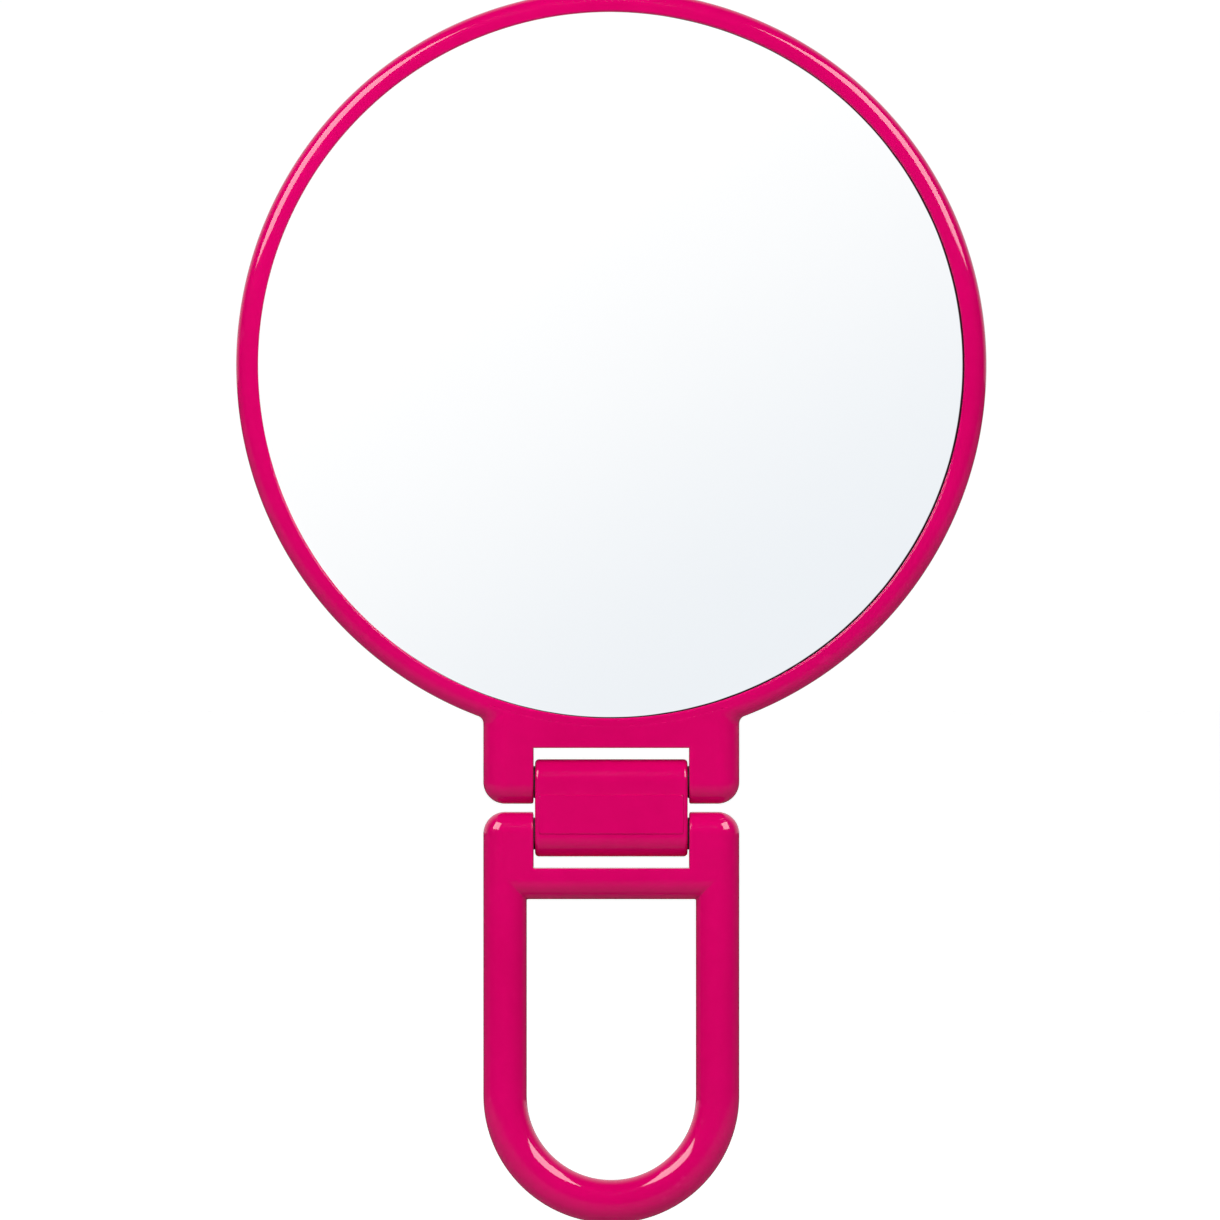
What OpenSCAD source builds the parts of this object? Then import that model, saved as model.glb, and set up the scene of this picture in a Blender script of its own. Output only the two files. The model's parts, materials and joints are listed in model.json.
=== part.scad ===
// Folding two-sided hand mirror on a double hinge.
// Upright: +Z runs from the grip loop to the round head, the plane glass faces -Y, and both
// hinge axes lie along X. The origin is the middle of the grip loop's opening.
// The handle turns on the lower pin and the head on the upper pin, so the handle folds flat
// over either glass.

/* [Head] */
// Diameter over the rim of the head
head_d = 150; // [110:1:200]
// Width of rim that shows round the glass
rim_w = 4.5; // [3.6:0.1:8]
// Thickness of the head and its neck, front to back
head_t = 8.7; // [7.2:0.1:12]
// Radius that rounds the rim's outer edges
rim_round = 3.2; // [1:0.1:3.5]
// Least height of the rim's straight side on each half
rim_side = 0.3; // [0.2:0.1:1]
// Height of the neck between its hinge slot and the glass
neck_web = 4.55; // [2.5:0.05:15]

/* [Glass] */
// Thickness of each glass
glass_t = 2; // [1.5:0.1:2.2]
// Thickness of the lip that holds each glass in
lip_t = 0.7; // [0.6:0.1:1]
// How far the lip covers the edge of the glass
lip_cover = 1.25; // [0.8:0.05:1.8]
// Space kept between the dished glass and the plane one at the middle
glass_space = 0.8; // [0.4:0.1:1.2]
// Width of the spacer ring and of the foam rings
spacer_w = 1.5; // [1:0.1:2.5]

/* [Handle] */
// Width of the handle and of the neck, side to side
grip_w = 51.2; // [46:0.2:70]
// Diameter of the loop's round bar, which is also the handle's thickness
bar_d = 8.7; // [7.2:0.1:11]
// Straight length of the loop's opening below the crossbar
loop_straight = 39.2; // [24:0.2:80]
// Height of the crossbar
crossbar_h = 6.3; // [5.6:0.1:12]

/* [Hinge] */
// Width of the hinge link, side to side
link_w = 30.5; // [24:0.1:38]
// Thickness of the link, which is the diameter of its two barrels
link_t = 9.2; // [8.6:0.1:11]
// Gap between the tips of the head's ears and the handle's ears
ear_gap = 1.6; // [1:0.1:4]
// Gap between a link barrel and the bottom of its slot
slot_gap = 2.25; // [1:0.05:4]
// Gap at each side of the link, which a washer fills
side_gap = 0.3; // [0.2:0.05:0.5]
// Radius that rounds the ends of the link's barrels
link_round = 0.8; // [0.3:0.1:1.2]
// Diameter of the two hinge pins
pin_d = 3; // [2:0.1:4]
// Wall of the friction bushes
bush_wall = 0.9; // [0.6:0.1:1.2]
// Length of each friction bush
bush_l = 9; // [4:0.5:11]
// Width of the slit in each friction bush
slit_w = 0.6; // [0.3:0.1:1]
// How far a washer reaches past the bush
washer_lap = 0.8; // [0.4:0.1:1.2]
// Play left at each washer
washer_play = 0.06; // [0.02:0.01:0.12]
// Wall left in each ear past the end of its pin's hole
pin_wall = 3.1; // [1.5:0.1:6]

/* [Link plates] */
// Width of link left at each side of the plate let into each of its faces
plate_margin = 0.8; // [0.6:0.1:4]
// Distance from the plate's top edge to the upper hinge axis
plate_drop = 2.5; // [1:0.1:5]
// Thickness of the plate
plate_t = 1.2; // [0.8:0.1:1.3]
// How far the plate stands proud of the link
plate_proud = 0.25; // [0.1:0.05:0.5]
// Bevel round the plate's outer face
plate_bevel = 0.2; // [0.1:0.05:0.3]

/* [Fits and joints in the mouldings] */
// Running clearance on radius between a pin and its bushes
pin_run = 0.02; // [0.01:0.01:0.08]
// Clearance on radius of pieces that are assembled and stay put
seat_clear = 0.02; // [0.01:0.01:0.1]
// Clearance between a glass and the wall round it
glass_clear = 0.15; // [0.05:0.05:0.4]
// Width of the fine groove along the joint between the two halves
seam_w = 0.16; // [0.08:0.02:0.3]
// Depth of that groove
seam_depth = 0.4; // [0.2:0.1:0.8]
// Diameter of the pegs that join the halves
peg_d = 2; // [1.4:0.1:2.4]
// Length of those pegs
peg_l = 2.2; // [1.4:0.1:2.4]
// Width of the tongue that joins the halves of the rim
tongue_w = 0.8; // [0.5:0.1:1]
// Height of that tongue
tongue_h = 1; // [0.6:0.1:1.4]
// Thickness of the foam ring that cushions each glass
foam_t = 0.5; // [0.3:0.1:0.7]

/* [Hidden] */

moulding_colour = "#cf0260";
glass_colour = "#eef3f7";
steel_colour = "#b9bdc2";
bush_colour = "#e9e6dc";
foam_colour = "#3b3b3f";
washer_colour = "#1e1e20";
eps = 0.01;
big = 400;
$fn = 96;
round_fn = 240;
dish_fn = 720;

// Rim and glass
head_r = head_d / 2;
opening_r = head_r - rim_w;
glass_r = opening_r + lip_cover;
pocket_r = glass_r + glass_clear;
rim_edge = min(rim_round, head_t / 2 - rim_side, head_r - pocket_r);
glass_face = head_t / 2 - lip_t;
glass_back = glass_face - glass_t;
lip_bevel = lip_t / 2;
dish_depth = 2 * glass_back - glass_space;
dish_r = (glass_r * glass_r + dish_depth * dish_depth) / (2 * dish_depth);
dish_centre = glass_face + sqrt(dish_r * dish_r - glass_r * glass_r);
spacer_r = glass_r - seat_clear;
spacer_half = glass_back - foam_t;

// Heights along Z
ear_r = head_t / 2;
bar_r = bar_d / 2;
bend_r = grip_w / 2 - bar_r;
opening_h = loop_straight + bend_r - bar_r;
bend_z = bend_r - bar_r - opening_h / 2;
opening_top = bend_z + loop_straight;
slot_depth = link_t / 2 + slot_gap;
lower_z = opening_top + crossbar_h + slot_depth;
hinge_span = ear_r + bar_r + ear_gap;
upper_z = lower_z + hinge_span;
head_z = upper_z + slot_depth + neck_web + pocket_r;
slot_w = link_w + 2 * side_gap;
plate_w = link_w - 2 * plate_margin;
plate_h = hinge_span - plate_drop;

// Hinge
pin_r = pin_d / 2;
bush_r = pin_r + pin_run + bush_wall;
pin_l = grip_w - 2 * (pin_wall + seat_clear);
washer_t = side_gap - washer_play;
washer_r = bush_r + washer_lap;

// Joints between the halves
tongue_r = (pocket_r + head_r - seam_depth) / 2;
peg_x = grip_w / 2 - bar_r;
neck_half = grip_w / 2 - ear_r;
head_peg_z = upper_z + slot_depth + peg_d;
handle_peg_z = opening_top + peg_d;

// Depth of the dished glass's inner face at distance r from its middle.
function dish_back(r) = dish_centre - sqrt(pow(dish_r + glass_t, 2) - r * r);

// Turns a flat drawing in the front view into a plate whose front face is towards -Y.
module front_plate(t) {
    rotate([90, 0, 0]) linear_extrude(t) children();
}

// A bar along X, centred, at height z.
module cross_bar(length, r, z) {
    translate([-length / 2, 0, z]) rotate([0, 90, 0]) cylinder(h = length, r = r);
}

// A bar along Z from z0 to z1 at the given x.
module upright_bar(x, z0, z1, r) {
    translate([x, 0, z0]) cylinder(h = z1 - z0, r = r);
}

// Copies a shape to the left and the right.
module both_sides() {
    for (side = [-1, 1]) scale_side(side) children();
}

module scale_side(side) {
    if (side > 0) children();
    else mirror([1, 0, 0]) children();
}

// Puts a shape drawn about Z on the axis of the head, with local +Z towards the front.
module on_head_axis() {
    translate([0, 0, head_z]) rotate([90, 0, 0]) children();
}

module front_half() {
    intersection() {
        children();
        translate([-big / 2, -big, -big / 2]) cube([big, big, big * 2]);
    }
}

// ---- Head ----

// Section of the rim, solid to the axis: flat faces and a rounded outer edge.
module rim_section() {
    edge_r = head_r - rim_edge;
    half = head_t / 2;
    square([edge_r, half]);
    square([head_r, half - rim_edge]);
    translate([edge_r, half - rim_edge]) intersection() {
        circle(r = rim_edge);
        square([rim_edge, rim_edge]);
    }
}

// Front outline of the head with its neck, drawn inward by inset.
module head_outline(inset) {
    translate([0, head_z]) circle(r = head_r - inset, $fn = round_fn);
    difference() {
        union() {
            translate([-neck_half, upper_z - ear_r + inset])
                square([2 * neck_half, head_r / 2]);
            translate([inset - grip_w / 2, upper_z]) square([grip_w - 2 * inset, head_r / 2]);
            both_sides() translate([neck_half, upper_z]) circle(r = ear_r - inset);
        }
        translate([-slot_w / 2 - inset, upper_z - ear_r - 1])
            square([slot_w + 2 * inset, slot_depth + ear_r + 1 + inset]);
    }
}

// Neck and ears as one rounded slab.
module neck_slab() {
    neck_top = head_z - sqrt(pocket_r * pocket_r - neck_half * neck_half) + 1;
    translate([-neck_half, -ear_r, upper_z]) cube([2 * neck_half, head_t, neck_top - upper_z]);
    cross_bar(2 * neck_half, ear_r, upper_z);
    both_sides() {
        upright_bar(neck_half, upper_z, neck_top, ear_r);
        translate([neck_half, 0, upper_z]) sphere(r = ear_r);
    }
}

// One half of the head, as the front one lies.
module head_half() {
    difference() {
        front_half() {
            on_head_axis() {
                rotate_extrude($fn = round_fn) rim_section();
                mirror([0, 0, 1]) rotate_extrude($fn = round_fn) rim_section();
            }
            neck_slab();
        }
        on_head_axis() {
            translate([0, 0, -eps]) cylinder(h = glass_face + eps, r = pocket_r, $fn = round_fn);
            translate([0, 0, -eps]) cylinder(h = head_t, r = opening_r, $fn = round_fn);
            translate([0, 0, head_t / 2 - lip_bevel])
                cylinder(h = lip_bevel + eps, r1 = opening_r, r2 = opening_r + lip_bevel + eps,
                         $fn = round_fn);
        }
        translate([-slot_w / 2, -big / 2, upper_z - big])
            cube([slot_w, big, big + slot_depth]);
        cross_bar(pin_l + 2 * seat_clear, pin_r + seat_clear, upper_z);
        front_plate(seam_w / 2) difference() {
            head_outline(0);
            head_outline(seam_depth);
        }
    }
}

// A ring on the head's axis, from height z0 to z1 and from radius r0 to r1.
module head_ring(r0, r1, z0, z1) {
    on_head_axis() translate([0, 0, z0]) difference() {
        cylinder(h = z1 - z0, r = r1, $fn = round_fn);
        translate([0, 0, -1]) cylinder(h = z1 - z0 + 2, r = r0, $fn = round_fn);
    }
}

// Pegs in the neck, standing back from the joint face.
module head_pegs(r, length) {
    both_sides() translate([peg_x, -eps, head_peg_z]) rotate([-90, 0, 0])
        cylinder(h = length + eps, r = r);
}

module head_front_frame() {
    color(moulding_colour) {
        difference() {
            head_half();
            head_ring(tongue_r - tongue_w / 2 - seat_clear, tongue_r + tongue_w / 2 + seat_clear,
                      -eps, tongue_h + seat_clear);
        }
        head_pegs(peg_d / 2, peg_l);
    }
}

module head_rear_frame() {
    color(moulding_colour) {
        difference() {
            mirror([0, 1, 0]) head_half();
            head_pegs(peg_d / 2 + seat_clear, peg_l + seat_clear);
        }
        head_ring(tongue_r - tongue_w / 2, tongue_r + tongue_w / 2, -eps, tongue_h);
    }
}

module front_glass() {
    color(glass_colour) on_head_axis() translate([0, 0, glass_back])
        cylinder(h = glass_t, r = glass_r, $fn = round_fn);
}

// Section of the glass bent to a dish: both faces are spheres about one centre.
module dish_section() {
    intersection() {
        translate([0, glass_back - dish_depth - 1]) square([glass_r, head_t]);
        difference() {
            translate([0, dish_centre]) circle(r = dish_r + glass_t, $fn = dish_fn);
            translate([0, dish_centre]) circle(r = dish_r, $fn = dish_fn);
        }
    }
}

// The dish opens towards the back.
module magnifying_glass() {
    color(glass_colour) translate([0, 0, head_z]) rotate([-90, 0, 0])
        rotate_extrude($fn = round_fn) dish_section();
}

module glass_spacer() {
    color(bush_colour) head_ring(spacer_r - spacer_w, spacer_r, -spacer_half, spacer_half);
}

module front_foam_ring() {
    color(foam_colour) head_ring(spacer_r - spacer_w, spacer_r, spacer_half, glass_back);
}

// The rear ring is pressed to the dished glass, so its face slopes with the glass.
module rear_foam_ring() {
    inner = spacer_r - spacer_w;
    color(foam_colour) translate([0, 0, head_z]) rotate([-90, 0, 0])
        rotate_extrude($fn = round_fn)
            polygon([[inner, spacer_half], [spacer_r, spacer_half],
                     [spacer_r, dish_back(spacer_r) - seat_clear],
                     [inner, dish_back(inner) - seat_clear]]);
}

// ---- Hinge ----

// A barrel along X with rounded ends.
module link_barrel(z) {
    r = link_t / 2;
    half = link_w / 2;
    translate([0, 0, z]) rotate([0, 90, 0]) rotate_extrude() {
        translate([0, -half]) square([r - link_round, link_w]);
        translate([0, link_round - half]) square([r, link_w - 2 * link_round]);
        for (y = [link_round - half, half - link_round])
            translate([r - link_round, y]) circle(r = link_round, $fn = 48);
    }
}

// The web between the barrels, with its upright edges rounded to match the barrels' ends.
module link_web() {
    half_w = link_w / 2;
    half_t = link_t / 2;
    translate([link_round - half_w, -half_t, lower_z])
        cube([link_w - 2 * link_round, link_t, hinge_span]);
    translate([-half_w, link_round - half_t, lower_z])
        cube([link_w, link_t - 2 * link_round, hinge_span]);
    for (x = [link_round - half_w, half_w - link_round], y = [link_round - half_t, half_t - link_round])
        translate([x, y, lower_z]) cylinder(h = hinge_span, r = link_round, $fn = 48);
}

// The plate starts level with the lower axis, where the barrel begins to turn away.
module link_plate(grow) {
    w = plate_w + 2 * grow;
    h = plate_h + 2 * grow;
    back = link_t / 2 - plate_t + plate_proud - grow;
    face = link_t / 2 + plate_proud;
    b = plate_bevel;
    intersection() {
        translate([-w / 2, 0, lower_z - grow]) rotate([90, 0, 90]) linear_extrude(w)
            polygon([[-back, 0], [-back, h], [b - face, h], [-face, h - b], [-face, b], [b - face, 0]]);
        translate([0, 0, lower_z - grow]) linear_extrude(h)
            polygon([[-w / 2, -back], [w / 2, -back], [w / 2, b - face], [w / 2 - b, -face],
                     [b - w / 2, -face], [-w / 2, b - face]]);
    }
}

// The recess for a plate, cut straight in from the face.
module plate_recess() {
    depth = plate_t - plate_proud + seat_clear;
    translate([-plate_w / 2 - seat_clear, -link_t / 2 - 1, lower_z - seat_clear])
        cube([plate_w + 2 * seat_clear, depth + 1, plate_h + 2 * seat_clear]);
}

module link_body() {
    color(moulding_colour) difference() {
        union() {
            link_barrel(lower_z);
            link_barrel(upper_z);
            link_web();
        }
        for (z = [lower_z, upper_z]) cross_bar(link_w + 2, bush_r + seat_clear, z);
        plate_recess();
        mirror([0, 1, 0]) plate_recess();
    }
}

module link_front_plate() {
    color(moulding_colour) link_plate(0);
}

module link_rear_plate() {
    color(moulding_colour) mirror([0, 1, 0]) link_plate(0);
}

module hinge_pin(z) {
    color(steel_colour) cross_bar(pin_l, pin_r, z);
}

// A split sleeve that grips the pin; its slit faces down the link.
module friction_bush(side, z) {
    color(bush_colour) scale_side(side) translate([link_w / 2 - bush_l, 0, z]) difference() {
        rotate([0, 90, 0]) cylinder(h = bush_l, r = bush_r);
        translate([-1, 0, 0]) rotate([0, 90, 0]) cylinder(h = bush_l + 2, r = pin_r + pin_run);
        translate([-1, -slit_w / 2, 0]) cube([bush_l + 2, slit_w, bush_r + 1]);
    }
}

// Two plain washers, one at each side of the link.
module hinge_washers(z) {
    color(washer_colour) both_sides()
        translate([link_w / 2 + (side_gap - washer_t) / 2, 0, z]) rotate([0, 90, 0]) difference() {
            cylinder(h = washer_t, r = washer_r);
            translate([0, 0, -1]) cylinder(h = washer_t + 2, r = pin_r + pin_run);
        }
}

module upper_pin() {
    hinge_pin(upper_z);
}

module lower_pin() {
    hinge_pin(lower_z);
}

module upper_left_bush() {
    friction_bush(-1, upper_z);
}

module upper_right_bush() {
    friction_bush(1, upper_z);
}

module lower_left_bush() {
    friction_bush(-1, lower_z);
}

module lower_right_bush() {
    friction_bush(1, lower_z);
}

module upper_washers() {
    hinge_washers(upper_z);
}

module lower_washers() {
    hinge_washers(lower_z);
}

// ---- Handle ----

// Front outline of the handle, drawn inward by inset.
module handle_outline(inset) {
    outer = bend_r + bar_r - inset;
    inner = bend_r - bar_r + inset;
    difference() {
        union() {
            translate([0, bend_z]) circle(r = outer, $fn = round_fn);
            translate([-outer, bend_z]) square([2 * outer, lower_z - bend_z]);
            translate([-bend_r, bend_z]) square([2 * bend_r, lower_z + bar_r - inset - bend_z]);
            both_sides() translate([bend_r, lower_z]) circle(r = bar_r - inset);
        }
        translate([0, bend_z]) circle(r = inner, $fn = round_fn);
        translate([-inner, bend_z]) square([2 * inner, loop_straight + inset]);
        translate([-slot_w / 2 - inset, lower_z - slot_depth - inset])
            square([slot_w + 2 * inset, big]);
    }
}

// The whole handle before it is split: loop, crossbar and ears.
module handle_solid() {
    bar_top = opening_top + bar_r;
    translate([0, 0, bend_z]) rotate([90, 0, 0]) rotate([0, 0, 180])
        rotate_extrude(angle = 180, $fn = round_fn) translate([bend_r, 0]) circle(r = bar_r);
    cross_bar(2 * bend_r, bar_r, bar_top);
    cross_bar(2 * bend_r, bar_r, lower_z);
    translate([-bend_r, -bar_r, bar_top]) cube([2 * bend_r, bar_d, lower_z - bar_top]);
    both_sides() {
        upright_bar(bend_r, bend_z, lower_z, bar_r);
        translate([bend_r, 0, lower_z]) sphere(r = bar_r);
    }
}

// One half of the handle, as the front one lies.
module handle_half() {
    difference() {
        front_half() handle_solid();
        translate([-slot_w / 2, -big / 2, lower_z - slot_depth]) cube([slot_w, big, big]);
        cross_bar(pin_l + 2 * seat_clear, pin_r + seat_clear, lower_z);
        front_plate(seam_w / 2) difference() {
            handle_outline(0);
            handle_outline(seam_depth);
        }
    }
}

// Pegs in the crossbar's ends and at the foot of the loop, standing back from the joint face.
module handle_pegs(r, length) {
    spots = [[-peg_x, handle_peg_z], [peg_x, handle_peg_z], [0, bend_z - bend_r]];
    for (p = spots) translate([p[0], -eps, p[1]]) rotate([-90, 0, 0])
        cylinder(h = length + eps, r = r);
}

module handle_front_shell() {
    color(moulding_colour) {
        handle_half();
        handle_pegs(peg_d / 2, peg_l);
    }
}

module handle_rear_shell() {
    color(moulding_colour) difference() {
        mirror([0, 1, 0]) handle_half();
        handle_pegs(peg_d / 2 + seat_clear, peg_l + seat_clear);
    }
}

head_front_frame();
head_rear_frame();
front_glass();
magnifying_glass();
glass_spacer();
front_foam_ring();
rear_foam_ring();
link_body();
link_front_plate();
link_rear_plate();
upper_pin();
lower_pin();
upper_left_bush();
upper_right_bush();
lower_left_bush();
lower_right_bush();
upper_washers();
lower_washers();
handle_front_shell();
handle_rear_shell();
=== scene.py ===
import json
import math

import bmesh
import bpy
import numpy as np
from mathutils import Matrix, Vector


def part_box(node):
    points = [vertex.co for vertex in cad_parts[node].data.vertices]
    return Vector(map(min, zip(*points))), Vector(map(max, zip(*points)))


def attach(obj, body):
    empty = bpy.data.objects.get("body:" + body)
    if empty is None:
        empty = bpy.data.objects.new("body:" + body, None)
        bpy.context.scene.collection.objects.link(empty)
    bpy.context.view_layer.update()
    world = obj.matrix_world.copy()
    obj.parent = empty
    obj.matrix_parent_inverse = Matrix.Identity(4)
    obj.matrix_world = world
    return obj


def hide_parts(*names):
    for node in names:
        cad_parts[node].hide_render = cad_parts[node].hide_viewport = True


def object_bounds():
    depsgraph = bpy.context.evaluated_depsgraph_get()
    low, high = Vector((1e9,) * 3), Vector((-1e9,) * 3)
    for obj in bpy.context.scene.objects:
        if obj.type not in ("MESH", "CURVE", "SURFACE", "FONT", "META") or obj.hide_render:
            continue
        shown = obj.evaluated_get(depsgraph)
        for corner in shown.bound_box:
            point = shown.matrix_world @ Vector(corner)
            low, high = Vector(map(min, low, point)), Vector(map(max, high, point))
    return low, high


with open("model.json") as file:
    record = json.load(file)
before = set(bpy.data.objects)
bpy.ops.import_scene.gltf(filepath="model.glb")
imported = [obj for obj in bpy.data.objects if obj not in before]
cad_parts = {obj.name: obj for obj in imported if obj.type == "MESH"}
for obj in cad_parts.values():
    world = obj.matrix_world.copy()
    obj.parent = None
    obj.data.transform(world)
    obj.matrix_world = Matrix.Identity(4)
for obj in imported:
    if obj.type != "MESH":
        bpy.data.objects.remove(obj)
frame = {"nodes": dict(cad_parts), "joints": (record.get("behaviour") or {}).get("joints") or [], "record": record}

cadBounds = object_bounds()
mm = 0.001
nodes = frame["nodes"]
jointAt = {j["name"]: Vector(j["pos_m"]) for j in frame["joints"]}


# ---------- shader helpers

def newMaterial(name):
    material = bpy.data.materials.new(name)
    material.use_nodes = True
    tree = material.node_tree
    tree.nodes.clear()
    output = tree.nodes.new("ShaderNodeOutputMaterial")
    shader = tree.nodes.new("ShaderNodeBsdfPrincipled")
    tree.links.new(shader.outputs["BSDF"], output.inputs["Surface"])
    return material, tree, shader


def addNode(tree, kind, inputs=None, **settings):
    node = tree.nodes.new(kind)
    for key, value in settings.items():
        setattr(node, key, value)
    for key, value in (inputs or {}).items():
        if isinstance(value, bpy.types.NodeSocket):
            tree.links.new(value, node.inputs[key])
        else:
            node.inputs[key].default_value = value
    return node


def mathNode(tree, operation, a, b=0.0, clamp=False):
    return addNode(tree, "ShaderNodeMath", {0: a, 1: b}, operation=operation, use_clamp=clamp).outputs[0]


def mixColour(tree, amount, a, b, blend="MIX"):
    # for colours the factor is socket 0 of this node, and the two colours are 6 and 7
    node = addNode(tree, "ShaderNodeMix", data_type="RGBA", blend_type=blend)
    for index, value in ((0, amount), (6, a), (7, b)):
        if isinstance(value, bpy.types.NodeSocket):
            tree.links.new(value, node.inputs[index])
        else:
            node.inputs[index].default_value = value
    return node.outputs[2]


def newGroup(name, inputs, outputs):
    # inputs: name -> (socket type, default), outputs: name -> socket type
    group = bpy.data.node_groups.new(name, "ShaderNodeTree")
    for key, (kind, default) in inputs.items():
        socket = group.interface.new_socket(key, in_out="INPUT", socket_type=kind)
        socket.default_value = default
    for key, kind in outputs.items():
        group.interface.new_socket(key, in_out="OUTPUT", socket_type=kind)
    start = group.nodes.new("NodeGroupInput")
    end = group.nodes.new("NodeGroupOutput")
    return group, start, end


def placeGroup(tree, group, inputs):
    return addNode(tree, "ShaderNodeGroup", inputs, node_tree=group)


# ---------- effects shared by several materials

def makeMottle():
    # slow colour drift of a moulding plus a finer one, as a factor round 1
    group, start, end = newGroup(
        "mottle",
        {"Scale": ("NodeSocketFloat", 20.0), "Amount": ("NodeSocketFloat", 0.05)},
        {"Value": "NodeSocketFloat"},
    )
    finer, fineShare = 14.0, 0.35      # scale and strength of the fine drift against the broad one
    place = addNode(group, "ShaderNodeTexCoord")
    broad = addNode(group, "ShaderNodeTexNoise", {"Vector": place.outputs["Object"],
                                                  "Scale": start.outputs["Scale"],
                                                  "Detail": 2.0, "Roughness": 0.5})
    fineScale = mathNode(group, "MULTIPLY", start.outputs["Scale"], finer)
    fine = addNode(group, "ShaderNodeTexNoise", {"Vector": place.outputs["Object"], "Scale": fineScale,
                                                 "Detail": 3.0, "Roughness": 0.6})
    fainter = mathNode(group, "MULTIPLY", fine.outputs["Fac"], fineShare)
    both = mathNode(group, "ADD", broad.outputs["Fac"], fainter)
    middle = 0.5 + fineShare * 0.5      # mean of the two noises together
    centred = mathNode(group, "SUBTRACT", both, middle)
    value = mathNode(group, "ADD", mathNode(group, "MULTIPLY", centred, start.outputs["Amount"]), 1.0)
    group.links.new(value, end.inputs["Value"])
    return group


def makeSmudge():
    # soft patches left by handling, 0 clean to 1 smudged
    group, start, end = newGroup(
        "handlingSmudge",
        {"Scale": ("NodeSocketFloat", 30.0), "Cover": ("NodeSocketFloat", 0.4)},
        {"Mask": "NodeSocketFloat"},
    )
    place = addNode(group, "ShaderNodeTexCoord")
    patches = addNode(group, "ShaderNodeTexNoise", {"Vector": place.outputs["Object"],
                                                    "Scale": start.outputs["Scale"],
                                                    "Detail": 4.0, "Roughness": 0.55, "Distortion": 0.6})
    low = mathNode(group, "SUBTRACT", 1.0, start.outputs["Cover"])
    mask = addNode(group, "ShaderNodeMapRange", {"Value": patches.outputs["Fac"],
                                                 "From Min": low, "From Max": 1.0})
    group.links.new(mask.outputs["Result"], end.inputs["Mask"])
    return group


def makeScratches():
    # fine hairline scratches in two directions, 0 to 1
    group, start, end = newGroup(
        "hairlineScratches",
        {"Scale": ("NodeSocketFloat", 200.0), "Sparse": ("NodeSocketFloat", 0.7)},
        {"Mask": "NodeSocketFloat"},
    )
    place = addNode(group, "ShaderNodeTexCoord")
    found = None
    for angle, stretch in ((0.5, 18.0), (2.1, 25.0)):
        turned = addNode(group, "ShaderNodeMapping", {"Vector": place.outputs["Object"],
                                                      "Rotation": (0.0, angle, 0.3),
                                                      "Scale": (stretch, 1.0, 1.0)})
        lines = addNode(group, "ShaderNodeTexNoise", {"Vector": turned.outputs["Vector"],
                                                      "Scale": start.outputs["Scale"], "Detail": 1.0})
        mask = addNode(group, "ShaderNodeMapRange", {"Value": lines.outputs["Fac"],
                                                     "From Min": start.outputs["Sparse"], "From Max": 0.95})
        mark = mask.outputs["Result"]
        found = mark if found is None else mathNode(group, "MAXIMUM", found, mark)
    group.links.new(found, end.inputs["Mask"])
    return group


def makeEdgeWear():
    # how much of an outward edge a point is on, 0 to 1, broken up as handling does
    group, start, end = newGroup(
        "edgeWear",
        {"Sharpness": ("NodeSocketFloat", 12.0), "Breakup": ("NodeSocketFloat", 300.0)},
        {"Mask": "NodeSocketFloat"},
    )
    shape = addNode(group, "ShaderNodeNewGeometry")
    level = 0.505      # what a face with almost no bend reads
    proud = mathNode(group, "SUBTRACT", shape.outputs["Pointiness"], level)
    edge = mathNode(group, "MULTIPLY", proud, start.outputs["Sharpness"], clamp=True)
    place = addNode(group, "ShaderNodeTexCoord")
    broken = addNode(group, "ShaderNodeTexNoise", {"Vector": place.outputs["Object"],
                                                   "Scale": start.outputs["Breakup"], "Detail": 3.0})
    group.links.new(mathNode(group, "MULTIPLY", edge, broken.outputs["Fac"]), end.inputs["Mask"])
    return group


def makePartingLine():
    # fine line on the mid-plane where two half mouldings meet, 0 away from it and 1 in it
    group, start, end = newGroup(
        "partingLine",
        {"Width": ("NodeSocketFloat", 0.16 * mm)},
        {"Mask": "NodeSocketFloat"},
    )
    place = addNode(group, "ShaderNodeTexCoord")
    apart = addNode(group, "ShaderNodeSeparateXYZ", {"Vector": place.outputs["Object"]})
    away = mathNode(group, "ABSOLUTE", apart.outputs["Y"])
    core = mathNode(group, "MULTIPLY", start.outputs["Width"], 0.4)
    inside = addNode(group, "ShaderNodeMapRange", {"Value": away, "From Min": start.outputs["Width"],
                                                   "From Max": core}, interpolation_type="SMOOTHSTEP")
    group.links.new(inside.outputs["Result"], end.inputs["Mask"])
    return group


print("building shared effects")
mottle = makeMottle()
smudge = makeSmudge()
scratches = makeScratches()
edgeWear = makeEdgeWear()
partingLine = makePartingLine()


# ---------- materials

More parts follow.
